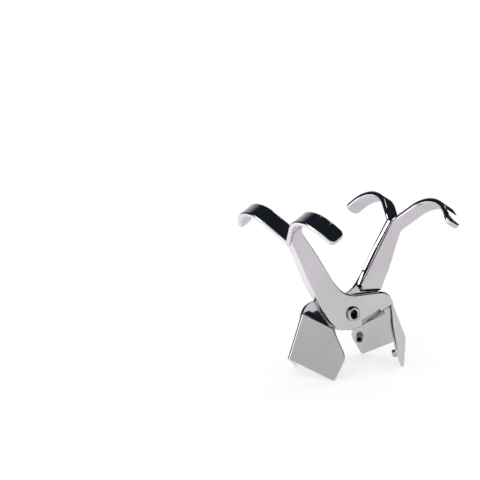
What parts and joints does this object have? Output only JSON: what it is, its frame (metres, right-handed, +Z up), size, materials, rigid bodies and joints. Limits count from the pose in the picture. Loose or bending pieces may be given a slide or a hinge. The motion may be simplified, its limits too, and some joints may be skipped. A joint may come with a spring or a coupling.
{
  "type": "champagne opener",
  "caption": "Hand tool with crossed levers on a tubular rivet, finger hooks above and V-shaped gripping jaws below, for easing out sparkling wine corks.",
  "frame": {"origin": "on the ground, midway between the four lower corners of the jaws it stands on", "axes": "+Z up, -Y towards the side where the front lever lies, +X towards the front lever's jaw"},
  "size_m": [0.096, 0.0954, 0.0953],
  "materials": {
    "front_lever": "polished chrome plate",
    "rear_lever": "polished chrome plate",
    "pivot_rivet": "polished plated steel",
    "front_lever_low_plate_stud": "plain turned steel",
    "front_lever_tall_plate_stud": "plain turned steel",
    "rear_lever_low_plate_stud": "plain turned steel",
    "rear_lever_tall_plate_stud": "plain turned steel"
  },
  "bodies": {
    "front": {"front_lever": "front_lever", "pivot_rivet": "pivot_rivet", "front_lever_low_plate_stud": "front_lever_low_plate_stud", "front_lever_tall_plate_stud": "front_lever_tall_plate_stud"},
    "rear": {"rear_lever": "rear_lever", "rear_lever_low_plate_stud": "rear_lever_low_plate_stud", "rear_lever_tall_plate_stud": "rear_lever_tall_plate_stud"}
  },
  "joints": [
    {"name": "lever_pivot", "type": "hinge", "parent": "front", "child": "rear", "pos_m": [0.0016, 0, 0.03119], "axis": [0, -1, 0], "range_deg": [0, 44]}
  ]
}
